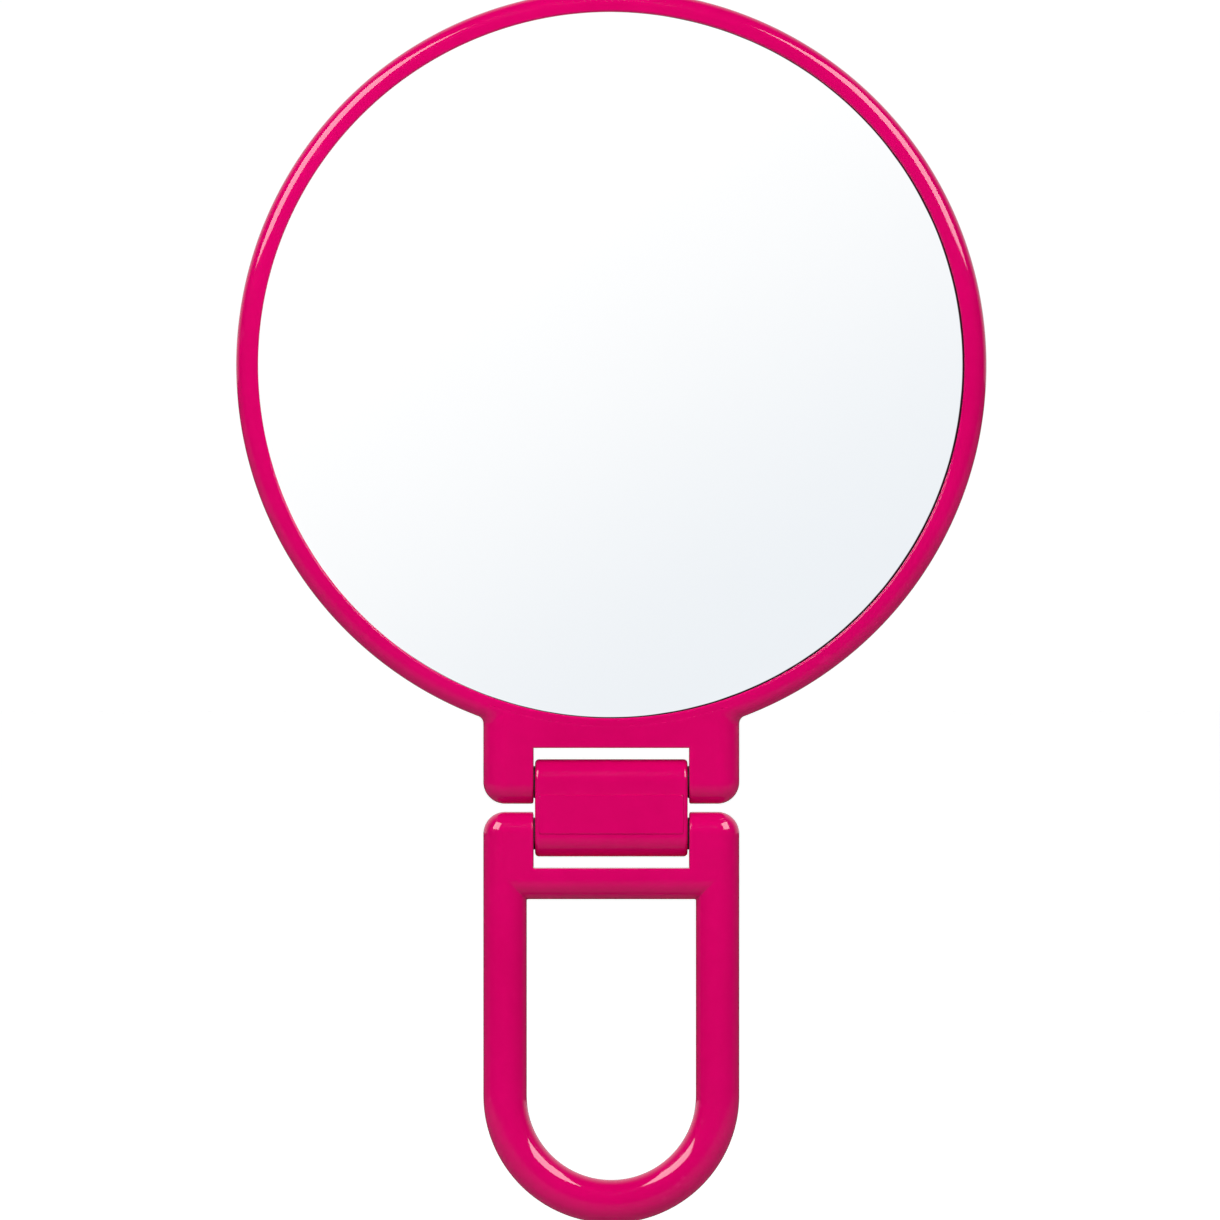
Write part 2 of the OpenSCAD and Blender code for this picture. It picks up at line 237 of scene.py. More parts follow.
magenta = {
    "colour": (0.65, 0.0004, 0.125, 1.0),
    "deepColour": (0.57, 0.0002, 0.103, 1.0),
    "wornColour": (0.78, 0.03, 0.22, 1.0),
    "seamColour": (0.2, 0.0, 0.03, 1.0),
    "seamWidth": 0.16 * mm,
    "seamDark": 0.75,
    "seamDepth": 30.0,           # depth of the seam, in times the depth of the moulding's own ripple
    "scratchDepth": 0.4,         # the same for a scratch
    "wear": 0.22,                # how far a worn edge goes towards the worn colour
    "mottleScale": 24.0,
    "mottleAmount": 2.2,
    "smudgeScale": 42.0,
    "smudgeCover": 0.5,
    "scratchScale": 60.0,
    "scratchSparse": 0.74,
    "edgeSharpness": 10.0,
    "edgeBreakup": 260.0,
    "roughness": 0.06,
    "smudgedRoughness": 0.11,
    "scuffedRoughness": 0.05,    # added in scratches and on worn edges
    "specular": 0.5,
    "ior": 1.5,
    "rippleScale": 900.0,
    "rippleDepth": 0.004 * mm,
    "rippleStrength": 0.35,
}


def makeMagentaPlastic(name, seamed, wearing):
    # seamed and wearing are 0 or 1: whether the piece shows its parting line and worn edges
    material, tree, shader = newMaterial(name)
    drift = placeGroup(tree, mottle, {"Scale": magenta["mottleScale"], "Amount": magenta["mottleAmount"]})
    marks = placeGroup(tree, smudge, {"Scale": magenta["smudgeScale"], "Cover": magenta["smudgeCover"]})
    lines = placeGroup(tree, scratches, {"Scale": magenta["scratchScale"],
                                         "Sparse": magenta["scratchSparse"]})
    edges = placeGroup(tree, edgeWear, {"Sharpness": magenta["edgeSharpness"],
                                        "Breakup": magenta["edgeBreakup"]})
    wear = mathNode(tree, "MULTIPLY", edges.outputs["Mask"], wearing)
    shade = mathNode(tree, "SUBTRACT", drift.outputs["Value"], 0.5, clamp=True)
    mixed = mixColour(tree, shade, magenta["deepColour"], magenta["colour"])
    worn = mixColour(tree, mathNode(tree, "MULTIPLY", wear, magenta["wear"]), mixed, magenta["wornColour"])
    seam = placeGroup(tree, partingLine, {"Width": magenta["seamWidth"]})
    inSeam = mathNode(tree, "MULTIPLY", seam.outputs["Mask"], seamed)
    dark = mathNode(tree, "MULTIPLY", inSeam, magenta["seamDark"])
    tree.links.new(mixColour(tree, dark, worn, magenta["seamColour"]), shader.inputs["Base Color"])
    rough = addNode(tree, "ShaderNodeMapRange", {"Value": marks.outputs["Mask"],
                                                 "To Min": magenta["roughness"],
                                                 "To Max": magenta["smudgedRoughness"]})
    scuffed = mathNode(tree, "MULTIPLY", mathNode(tree, "ADD", lines.outputs["Mask"], wear),
                       magenta["scuffedRoughness"])
    tree.links.new(mathNode(tree, "ADD", rough.outputs["Result"], scuffed), shader.inputs["Roughness"])
    place = addNode(tree, "ShaderNodeTexCoord")
    ripple = addNode(tree, "ShaderNodeTexNoise", {"Vector": place.outputs["Object"],
                                                  "Scale": magenta["rippleScale"], "Detail": 1.0})
    dents = mathNode(tree, "ADD",
                     mathNode(tree, "MULTIPLY", lines.outputs["Mask"], magenta["scratchDepth"]),
                     mathNode(tree, "MULTIPLY", inSeam, magenta["seamDepth"]))
    height = mathNode(tree, "SUBTRACT", ripple.outputs["Fac"], dents)
    bump = addNode(tree, "ShaderNodeBump", {"Height": height, "Strength": magenta["rippleStrength"],
                                            "Distance": magenta["rippleDepth"]})
    tree.links.new(bump.outputs["Normal"], shader.inputs["Normal"])
    shader.inputs["Specular IOR Level"].default_value = magenta["specular"]
    shader.inputs["IOR"].default_value = magenta["ior"]
    return material


mirror = {
    # the next two colours are the ends of a painted reflection, a gradient of what the mirror reflects laid into
    # its colour
    "paintedReflectionBright": (1.0, 1.0, 1.0, 1.0),
    "paintedReflectionCool": (0.83, 0.865, 0.9, 1.0),
    # painted shade: the next colour is a dark ring at the glass's edge, standing in for the shadow and reflection
    # of the rim's inner wall
    "paintedEdgeShade": (0.035, 0.006, 0.014, 1.0),
    "paintedReflectionAcross": (0.55, -0.83),     # direction in which the painted reflection turns cool, as right and up
    "paintedReflectionFrom": -45 * mm,
    "paintedReflectionTo": 72 * mm,
    "paintedShadeRadius": 70.38 * mm,    # past this a painted dark ring shows: painted shade and reflection of the rim's inner wall
    "paintedShadeShift": (-0.3 * mm, 0.1 * mm),
    "paintedShadeFade": 0.1 * mm,
    "paintedShadeRagged": 0.12 * mm,
    "paintedShadeRaggedScale": 160.0,
    "driftScale": 9.0,
    "driftAmount": 0.02,
    "smudgeScale": 26.0,
    "smudgeCover": 0.36,
    "roughness": 0.004,
    "smudgedRoughness": 0.03,
}


def makeMirrorGlass():
    material, tree, shader = newMaterial("mirrorGlass")
    low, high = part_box("front_glass")
    centre = (Vector(low) + Vector(high)) / 2
    place = addNode(tree, "ShaderNodeTexCoord")
    moved = addNode(tree, "ShaderNodeMapping", {"Vector": place.outputs["Object"], "Location": -centre},
                    vector_type="POINT")
    apart = addNode(tree, "ShaderNodeSeparateXYZ", {"Vector": moved.outputs["Vector"]})
    # painted reflection: the mirror's colour runs from white at the upper left to faintly cool at the lower right,
    # standing in for the gradient of what it reflects
    right, up = mirror["paintedReflectionAcross"]
    across = mathNode(tree, "ADD", mathNode(tree, "MULTIPLY", apart.outputs["X"], right),
                      mathNode(tree, "MULTIPLY", apart.outputs["Z"], up))
    reflectionRamp = addNode(tree, "ShaderNodeMapRange", {"Value": across, "From Min": mirror["paintedReflectionFrom"],
                                                "From Max": mirror["paintedReflectionTo"]},
                   interpolation_type="SMOOTHSTEP")
    drift = placeGroup(tree, mottle, {"Scale": mirror["driftScale"], "Amount": mirror["driftAmount"]})
    paintedReflection = mixColour(tree, reflectionRamp.outputs["Result"], mirror["paintedReflectionBright"], mirror["paintedReflectionCool"])
    shade = mixColour(tree, 1.0, paintedReflection, drift.outputs["Value"], "MULTIPLY")
    # painted shade: a dark ring at the glass's edge, set off centre so that it is wider on the right, standing in
    # for the shadow and reflection of the rim's inner wall
    shift = mirror["paintedShadeShift"]
    off = addNode(tree, "ShaderNodeCombineXYZ",
                  {"X": mathNode(tree, "SUBTRACT", apart.outputs["X"], shift[0]),
                   "Z": mathNode(tree, "SUBTRACT", apart.outputs["Z"], shift[1])})
    out = addNode(tree, "ShaderNodeVectorMath", {0: off.outputs["Vector"]}, operation="LENGTH")
    wobble = addNode(tree, "ShaderNodeTexNoise", {"Vector": place.outputs["Object"],
                                                  "Scale": mirror["paintedShadeRaggedScale"], "Detail": 3.0})
    ragged = mathNode(tree, "MULTIPLY", wobble.outputs["Fac"], mirror["paintedShadeRagged"])
    past = mathNode(tree, "ADD", out.outputs["Value"], ragged)
    shadeFull = mirror["paintedShadeRadius"] + mirror["paintedShadeFade"]
    edge = addNode(tree, "ShaderNodeMapRange", {"Value": past, "From Min": mirror["paintedShadeRadius"],
                                                "From Max": shadeFull})
    finished = mixColour(tree, edge.outputs["Result"], shade, mirror["paintedEdgeShade"])
    tree.links.new(finished, shader.inputs["Base Color"])
    marks = placeGroup(tree, smudge, {"Scale": mirror["smudgeScale"], "Cover": mirror["smudgeCover"]})
    rough = addNode(tree, "ShaderNodeMapRange", {"Value": marks.outputs["Mask"],
                                                 "To Min": mirror["roughness"],
                                                 "To Max": mirror["smudgedRoughness"]})
    tree.links.new(rough.outputs["Result"], shader.inputs["Roughness"])
    shader.inputs["Metallic"].default_value = 1.0
    return material


nylon = {
    "light": (0.035, 0.034, 0.037, 1.0),
    "dark": (0.02, 0.02, 0.022, 1.0),
    "worn": (0.06, 0.06, 0.064, 1.0),
    "roughness": 0.5,
}
steel = {
    "light": (0.62, 0.63, 0.65, 1.0),
    "dark": (0.46, 0.47, 0.49, 1.0),
    "worn": (0.78, 0.78, 0.79, 1.0),
    "roughness": 0.28,
}
acetal = {
    "light": (0.80, 0.78, 0.72, 1.0),
    "dark": (0.72, 0.70, 0.63, 1.0),
    "worn": (0.6, 0.57, 0.5, 1.0),
    "roughness": 0.42,
}
foam = {
    "light": (0.07, 0.07, 0.075, 1.0),
    "dark": (0.03, 0.03, 0.034, 1.0),
    "worn": (0.1, 0.1, 0.105, 1.0),
    "roughness": 0.9,
}
plain = {
    "mottleAmount": 1.4,
    "smudgeScale": 1.6,         # this and the next two are times the scale of the colour drift
    "edgeBreakup": 4.0,
    "textureScale": 30,
    "smudgeCover": 0.5,
    "edgeSharpness": 4.0,
    "smudgedRougher": 0.15,
    "textureStrength": 0.5,
}


def makePlain(name, look, scale, metallic=0.0, grain=0.02 * mm):
    # scale sets the size of the colour drift, grain the depth of the surface texture
    material, tree, shader = newMaterial(name)
    drift = placeGroup(tree, mottle, {"Scale": scale, "Amount": plain["mottleAmount"]})
    marks = placeGroup(tree, smudge, {"Scale": scale * plain["smudgeScale"], "Cover": plain["smudgeCover"]})
    shade = mathNode(tree, "SUBTRACT", drift.outputs["Value"], 0.5, clamp=True)
    edges = placeGroup(tree, edgeWear, {"Sharpness": plain["edgeSharpness"],
                                        "Breakup": scale * plain["edgeBreakup"]})
    clean = mixColour(tree, shade, look["dark"], look["light"])
    tree.links.new(mixColour(tree, edges.outputs["Mask"], clean, look["worn"]), shader.inputs["Base Color"])
    smudged = min(1.0, look["roughness"] + plain["smudgedRougher"])
    rough = addNode(tree, "ShaderNodeMapRange", {"Value": marks.outputs["Mask"],
                                                 "To Min": look["roughness"], "To Max": smudged})
    tree.links.new(rough.outputs["Result"], shader.inputs["Roughness"])
    place = addNode(tree, "ShaderNodeTexCoord")
    texture = addNode(tree, "ShaderNodeTexNoise", {"Vector": place.outputs["Object"],
                                                   "Scale": scale * plain["textureScale"], "Detail": 3.0})
    bump = addNode(tree, "ShaderNodeBump", {"Height": texture.outputs["Fac"], "Distance": grain,
                                            "Strength": plain["textureStrength"]})
    tree.links.new(bump.outputs["Normal"], shader.inputs["Normal"])
    shader.inputs["Metallic"].default_value = metallic
    return material


print("building materials")
slotMaterials = {
    "magenta_plastic": makeMagentaPlastic("magentaPlastic", 0.0, 1.0),
    "mirror_glass": makeMirrorGlass(),
    "pin_steel": makePlain("pinSteel", steel, 120.0, metallic=1.0, grain=0.004 * mm),
    "white_acetal": makePlain("whiteAcetal", acetal, 90.0),
    "black_nylon": makePlain("blackNylon", nylon, 90.0),
    "black_foam": makePlain("blackFoam", foam, 160.0, grain=0.08 * mm),
}
splitPlastic = makeMagentaPlastic("magentaPlasticSplit", 1.0, 1.0)
platePlastic = makeMagentaPlastic("magentaPlasticPlate", 0.0, 0.0)
slotOf = {s["node"]: s["material_slot"] for s in frame["record"]["subparts"]}
for name, node in nodes.items():
    node.data.materials.clear()
    node.data.materials.append(slotMaterials[slotOf[name]])


# ---------- smooth mouldings, built on the hinges' heights

lowerZ = jointAt["lower_hinge"].z
upperZ = jointAt["upper_hinge"].z
glassLow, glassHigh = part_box("front_glass")
headZ = (glassLow[2] + glassHigh[2]) / 2
netSpan = {
    "wide": 27 * mm,            # half the width that the nets of the neck and the handle cover
    "linkWide": 16.5 * mm,
    "deep": 6 * mm,             # how far a net reaches in front, behind and past a pin
}


def softMin(a, b, reach):
    # joins two shapes with a rounded valley
    near = np.maximum(reach - np.abs(a - b), 0.0) / reach
    return np.minimum(a, b) - near * near * reach / 4


def softMax(a, b, reach):
    # keeps what two shapes share, with a rounded edge
    return -softMin(-a, -b, reach)


def roundedCorner(a, b, radius):
    # two distances that meet in a corner of this radius
    a, b = a + radius, b + radius
    return np.hypot(np.maximum(a, 0), np.maximum(b, 0)) + np.minimum(np.maximum(a, b), 0) - radius


def slabField(x, y, z, halfX, z0, z1, radius):
    # flat slab with fully rounded edges and corners
    dx = np.maximum(np.abs(x) - halfX, 0)
    dz = np.maximum(np.maximum(z0 - z, z - z1), 0)
    return np.sqrt(dx * dx + y * y + dz * dz) - radius


def cutPinHole(solid, x, y, z, axisZ, radius, half):
    hole = np.maximum(np.hypot(y, z - axisZ) - radius, np.abs(x) - half)
    return np.maximum(solid, -hole)


def slopeOf(field, points, gap=0.004 * mm):
    slope = np.empty_like(points)
    for axis in range(3):
        ahead, behind = points.copy(), points.copy()
        ahead[:, axis] += gap
        behind[:, axis] -= gap
        slope[:, axis] = (field(*ahead.T) - field(*behind.T)) / (2 * gap)
    return slope


def netOf(field, low, high, step, pulls=6):
    # even net of four-sided faces, pulled onto the surface where the field is nought
    low = np.array(low)
    grid = np.meshgrid(*[np.arange(a, b + step, step) for a, b in zip(low, high)], indexing="ij")
    inside = field(*grid) < 0
    count = sum(inside[i:i - 1 or None, j:j - 1 or None, k:k - 1 or None].astype(int)
                for i in (0, 1) for j in (0, 1) for k in (0, 1))
    used = (count > 0) & (count < 8)
    number = np.full(used.shape, -1)
    number[used] = np.arange(used.sum())
    points = low + (np.argwhere(used) + 0.5) * step
    faces = []
    for axis in range(3):
        side = np.moveaxis(inside, axis, 0)
        cell = np.moveaxis(number, axis, 0)
        crossed = (side[1:] != side[:-1])[:, 1:-1, 1:-1]
        around = np.stack([cell[:, :-1, :-1], cell[:, 1:, :-1],
                           cell[:, 1:, 1:], cell[:, :-1, 1:]], -1)[crossed]
        outward = side[:-1][:, 1:-1, 1:-1][crossed] == (axis != 1)
        around[~outward] = around[~outward][:, ::-1]
        faces.append(around)
    gentlest = 0.2      # keeps each pull short where the field is nearly level
    for _ in range(pulls):
        slope = slopeOf(field, points)
        steepness = np.maximum((slope * slope).sum(1), gentlest)
        points -= slope * (field(*points.T) / steepness)[:, None]
    return points, np.concatenate(faces)


def halfOf(points, faces, side):
    # keeps the front (-1) or the rear (1) half and closes it on the parting plane
    mesh = bpy.data.meshes.new("half")
    mesh.from_pydata(points.tolist(), [], faces.tolist())
    shape = bmesh.new()
    shape.from_mesh(mesh)
    everything = shape.verts[:] + shape.edges[:] + shape.faces[:]
    bmesh.ops.bisect_plane(shape, geom=everything, dist=1e-8, plane_co=(0, 0, 0), plane_no=(0, -side, 0),
                           clear_outer=True)
    rim = [e for e in shape.edges if e.is_boundary]
    bmesh.ops.triangle_fill(shape, use_beauty=True, edges=rim, normal=(0, -side, 0))
    bmesh.ops.split_edges(shape, edges=rim)
    shape.verts.ensure_lookup_table()
    shape.verts.index_update()
    halfPoints = np.array([v.co for v in shape.verts])
    halfFaces = [[v.index for v in f.verts] for f in shape.faces]
    flat = np.zeros(len(halfPoints), bool)
    for f in shape.faces:
        if all(abs(v.co.y) < 1e-7 for v in f.verts):
            flat[[v.index for v in f.verts]] = True
    shape.free()
    bpy.data.meshes.remove(mesh)
    return halfPoints, halfFaces, flat


def unitRows(rows):
    return rows / np.maximum(np.linalg.norm(rows, axis=1), 1e-12)[:, None]


def halfPiece(net, field, side):
    points, faces, flat = halfOf(*net, side)
    normals = unitRows(slopeOf(field, points))
    normals[flat] = (0, -side, 0)
    return points, faces, normals


def pieceFrom(name, body, points, faces, normals, material, *replaced, slot="magenta_plastic"):
    mesh = bpy.data.meshes.new(name)
    mesh.from_pydata([tuple(p) for p in points], [], [tuple(f) for f in faces])
    mesh.shade_smooth()
    mesh.normals_split_custom_set_from_vertices([tuple(n) for n in normals])
    mesh.materials.append(material)
    piece = bpy.data.objects.new(name, mesh)
    bpy.context.scene.collection.objects.link(piece)
    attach(piece, body)
    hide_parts(*replaced)
    return piece


def joined(*parts):
    points, faces, normals, start = [], [], [], 0
    for somePoints, someFaces, someNormals in parts:
        points.append(somePoints)
        normals.append(someNormals)
        faces += [[i + start for i in face] for face in someFaces]
        start += len(somePoints)
    return np.concatenate(points), faces, np.concatenate(normals)


# ---------- head frame

head = {
    "radius": 75 * mm,
    "thick": 8.7 * mm,
    "edge": 3.1 * mm,           # rounding of the outer edge
    "opening": 70.5 * mm,
    "pocket": 71.9 * mm,
    "glassFace": 3.65 * mm,
    "lipBevel": 0.35 * mm,
    "lipSoft": 0.25 * mm,
    "lipFlat": 0.4 * mm,        # strip of the flat face that runs up to the lip
    "edgeSteps": 19,
    "lipSteps": 4,
    "neckHalf": 21.25 * mm,     # to the centre of the rounded side
    "neckHigh": 22 * mm,        # above the upper hinge
    "neckJoin": 1.2 * mm,       # rounding of the valley between neck and rim
    "neckBlend": 2.5 * mm,      # width over which that rounding grows beside the neck
    "neckLeast": 0.02,          # share of it that is left elsewhere
    "neckSink": 0.02 * mm,      # how far the neck's own rim lies under the rim
    "neckPast": 0.1 * mm,       # how far the neck stays outside the glass pocket
    "slotHalf": 15.55 * mm,
    "slotDepth": 6.85 * mm,
    "slotSoft": 0.45 * mm,
    "pinHole": 1.52 * mm,
    "pinHalf": 22.5 * mm,
    "segments": 540,            # steps round the head
    "step": 0.3 * mm,           # fineness of the neck's net
}


def headRing(x, y, z):
    out = np.hypot(x, z - headZ) - head["radius"]
    return roundedCorner(out, np.abs(y) - head["thick"] / 2, head["edge"])


def neckField(x, y, z):
    neck = slabField(x, y, z, head["neckHalf"], upperZ, upperZ + head["neckHigh"], head["thick"] / 2)
    # the join is rounded only in the valley at each side of the neck
    valley = np.clip((np.abs(x) - head["neckHalf"]) / head["neckBlend"], head["neckLeast"], 1)
    solid = softMin(neck, headRing(x, y, z) + head["neckSink"], head["neckJoin"] * valley)
    solid = np.maximum(solid, neck - head["neckJoin"])
    solid = np.maximum(solid, head["pocket"] + head["neckPast"] - np.hypot(x, z - headZ))
    slot = np.maximum(np.abs(x) - head["slotHalf"], z - upperZ - head["slotDepth"])
    solid = softMax(solid, -slot, head["slotSoft"])
    return cutPinHole(solid, x, y, z, upperZ, head["pinHole"], head["pinHalf"])


def arcPoints(centre, radius, start, end, count):
    return [(centre[0] + radius * math.cos(t), centre[1] + radius * math.sin(t))
            for t in np.linspace(math.radians(start), math.radians(end), count)]


def rimSkins():
    # runs of the rim's section as radius and depth; each run is shaded smooth by itself
    half, edge, soft = head["thick"] / 2, head["edge"], head["lipSoft"]
    bevel, opening, pocket = head["lipBevel"], head["opening"], head["pocket"]
    turned = soft * 0.41      # run of a soft corner that turns by 45 degrees
    outer = [(head["radius"], t * (half - edge)) for t in (0.0, 0.5, 1.0)]
    outer += arcPoints((head["radius"] - edge, half - edge), edge, 0, 90, head["edgeSteps"])[1:]
    outer += [(opening + bevel + soft + head["lipFlat"], half)]
    outer += arcPoints((opening + bevel + turned, half - soft), soft, 90, 135, head["lipSteps"])
    outer += arcPoints((opening + soft, half - bevel - turned), soft, 135, 180, head["lipSteps"])
    outer += [(opening, head["glassFace"])]
    return [outer, [(opening, head["glassFace"]), (pocket, head["glassFace"])],
            [(pocket, head["glassFace"]), (pocket, 0.0)], [(pocket, 0.0), (head["radius"], 0.0)]]


def lathe(runs, side):
    # turns runs of radius and depth about the head's axis; depth runs towards the given side
    points, faces, normals = [], [], []
    turns = np.linspace(0, 2 * math.pi, head["segments"], endpoint=False)
    for run in runs:
        run = np.array(run)
        along = np.gradient(run, axis=0)
        out = unitRows(np.stack([along[:, 1], -along[:, 0]], 1))
        start = sum(len(p) for p in points)
        size = len(run)
        points.append(np.stack([np.outer(np.cos(turns), run[:, 0]),
                                np.broadcast_to(side * run[:, 1], (len(turns), size)),
                                headZ + np.outer(np.sin(turns), run[:, 0])], -1).reshape(-1, 3))
        normals.append(np.stack([np.outer(np.cos(turns), out[:, 0]),
                                 np.broadcast_to(side * out[:, 1], (len(turns), size)),
                                 np.outer(np.sin(turns), out[:, 0])], -1).reshape(-1, 3))
        for i in range(len(turns)):
            here, there = start + i * size, start + (i + 1) % len(turns) * size
            for j in range(size - 1):
                face = [here + j, here + j + 1, there + j + 1, there + j]
                # three-sided at the middle, where the run meets the axis
                if run[j, 0] == 0:
                    face.remove(there + j)
                if run[j + 1, 0] == 0:
                    face.remove(there + j + 1)
                faces.append(face if side > 0 else face[::-1])
    return np.concatenate(points), faces, np.concatenate(normals)


print("moulding the head frame")
neckLow = (-netSpan["wide"], -netSpan["deep"], upperZ - netSpan["deep"])
neckHigh = (netSpan["wide"], netSpan["deep"], upperZ + head["neckHigh"])
neckNet = netOf(neckField, neckLow, neckHigh, head["step"])
for side, name in ((-1, "front"), (1, "rear")):
    neck = halfPiece(neckNet, neckField, side)
    pieceFrom(name + "HeadFrame", "head", *joined(lathe(rimSkins(), side), neck), splitPlastic,
              "head_" + name + "_frame")


# ---------- magnifying glass

dish = {
    "radius": 71.75 * mm,
    "thick": 2.0 * mm,
    "depth": 2.5 * mm,          # how far the middle lies below the edge
    "rings": 28,
    "middle": 0.15 * mm,        # radius of the smallest ring
}


def dishSkins():
    edge, face, thick = dish["radius"], head["glassFace"], dish["thick"]
    bend = (edge ** 2 + dish["depth"] ** 2) / (2 * dish["depth"])
    centre = face + math.sqrt(bend ** 2 - edge ** 2)
    radii = [edge * (1 - t ** 2) for t in np.linspace(0, 1, dish["rings"])][:-1] + [dish["middle"], 0.0]
    front = [(r, centre - math.sqrt(bend ** 2 - r ** 2)) for r in radii]
    back = [(r, centre - math.sqrt((bend + thick) ** 2 - r ** 2)) for r in reversed(radii)]
    return [front, back, [back[-1], front[0]]]


print("bending the magnifying glass")
magnifier = pieceFrom("magnifyingGlass", "head", *lathe(dishSkins(), 1),
                      slotMaterials["mirror_glass"], "magnifying_glass", slot="mirror_glass")


# ---------- handle

handle = {
    "bar": 4.35 * mm,           # radius of the round bar
    "bend": 21.25 * mm,         # radius of the bend's centre line
    "bendZ": -11.15 * mm,
    "openingTop": 28.05 * mm,
    "slotHalf": 15.55 * mm,
    "slotDepth": 6.85 * mm,
    "slotSoft": 0.45 * mm,
    "step": 0.34 * mm,
}


def handleField(x, y, z):
    reach = np.where(z < handle["bendZ"], np.hypot(x, z - handle["bendZ"]), np.abs(x)) - handle["bend"]
    above = np.maximum(z - lowerZ, 0)
    loop = np.sqrt(reach * reach + y * y + above * above) - handle["bar"]
    crossbar = slabField(x, y, z, handle["bend"], handle["openingTop"] + handle["bar"], lowerZ,
                         handle["bar"])
    solid = np.minimum(loop, crossbar)
    slot = np.maximum(np.abs(x) - handle["slotHalf"], lowerZ - handle["slotDepth"] - z)
    solid = softMax(solid, -slot, handle["slotSoft"])
    return cutPinHole(solid, x, y, z, lowerZ, head["pinHole"], head["pinHalf"])


print("moulding the handle")
handleLow = (-netSpan["wide"], -netSpan["deep"], handle["bendZ"] - netSpan["wide"])
handleHigh = (netSpan["wide"], netSpan["deep"], lowerZ + netSpan["deep"])
handleNet = netOf(handleField, handleLow, handleHigh, handle["step"])
for side, name in ((-1, "front"), (1, "rear")):
    half = halfPiece(handleNet, handleField, side)
    pieceFrom(name + "HandleHalf", "handle", *half, splitPlastic, "handle_" + name + "_shell")


# ---------- hinge link

link = {
    "half": 15.25 * mm,
    "thick": 9.2 * mm,
    "endEdge": 0.8 * mm,        # rounding of the barrels' ends
    "bore": 2.46 * mm,
    "plateHalf": 14.45 * mm,
    "plateHigh": 7.8 * mm,
    "plateLap": 0.12 * mm,      # how far each plate's edge sinks into the link
    "recess": 0.9 * mm,
    "step": 0.22 * mm,
}


def linkField(x, y, z):
    dz = np.maximum(np.maximum(lowerZ - z, z - upperZ), 0)
    body = roundedCorner(np.hypot(y, dz) - link["thick"] / 2, np.abs(x) - link["half"], link["endEdge"])
    for axisZ in (lowerZ, upperZ):
        body = np.maximum(body, link["bore"] - np.hypot(y, z - axisZ))
    middle = lowerZ + link["plateHigh"] / 2
    edge = np.maximum(np.abs(x) - link["plateHalf"], np.abs(z - middle) - link["plateHigh"] / 2)
    recess = np.maximum(edge + link["plateLap"], link["thick"] / 2 - link["recess"] - np.abs(y))
    return np.maximum(body, -recess)


print("moulding the hinge link")
linkLow = (-netSpan["linkWide"], -netSpan["deep"], lowerZ - netSpan["deep"])
linkHigh = (netSpan["linkWide"], netSpan["deep"], upperZ + netSpan["deep"])
linkPoints, linkFaces = netOf(linkField, linkLow, linkHigh, link["step"])
pieceFrom("hingeLink", "link", linkPoints, linkFaces.tolist(), unitRows(slopeOf(linkField, linkPoints)),
          slotMaterials["magenta_plastic"], "link_body")


plate = {
    "edge": 0.2 * mm,
    "corner": 0.5 * mm,
    "steps": 6,                 # steps round each corner and over the edge
    "flatInset": 1.6,           # inset of the flat face's first ring, in times the edge
    "flatRings": (0.0, 2.0, 6.0),    # how much further in its rings lie, in times the edge
}


def plateSkin(name, side):
    # thin plate with rounded corners and a softened front edge, in rings from the back inwards
    low, high = (Vector(c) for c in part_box(name))
    middle, half = (low + high) / 2, (high - low) / 2
    face, back = half.y, -half.y
    edge, corner = plate["edge"], plate["corner"]
    rings = [(0.0, back, 0.0, 0.0)]
    rings += [(edge * (1 - math.cos(t)), face - edge * (1 - math.sin(t)), t, 0.0)
              for t in np.linspace(0, math.pi / 2, plate["steps"])]
    rings += [(edge * plate["flatInset"], face, math.pi / 2, further * edge)
              for further in plate["flatRings"]]
    corners = ((1, 1, 0), (-1, 1, 90), (-1, -1, 180), (1, -1, 270))
    around = [(x, z, math.radians(start + t)) for x, z, start in corners
              for t in np.linspace(0, 90, plate["steps"])]
    points, normals, faces = [], [], []
    for inset, depth, lean, shrink in rings:
        for x, z, turn in around:
            out = Vector((math.cos(turn), 0, math.sin(turn)))
            pivot = Vector((x * (half.x - corner - shrink), side * depth, z * (half.z - corner - shrink)))
            points.append(middle + pivot + out * (corner - inset))
            normals.append(out * math.cos(lean) + Vector((0, side * math.sin(lean), 0)))
    count = len(around)
    for ring in range(len(rings) - 1):
        for i in range(count):
            here, there = ring * count + i, ring * count + (i + 1) % count
            faces.append([here, there, there + count, here + count])
    faces.append([(len(rings) - 1) * count + i for i in range(count)])
    faces.append([count - 1 - i for i in range(count)])
    return points, [f[::-1] if side > 0 else f for f in faces], normals


for side, name in ((-1, "front"), (1, "rear")):
    pieceFrom(name + "LinkPlate", "link", *plateSkin("link_" + name + "_plate", side), platePlastic,
              "link_" + name + "_plate")


# ---------- studio

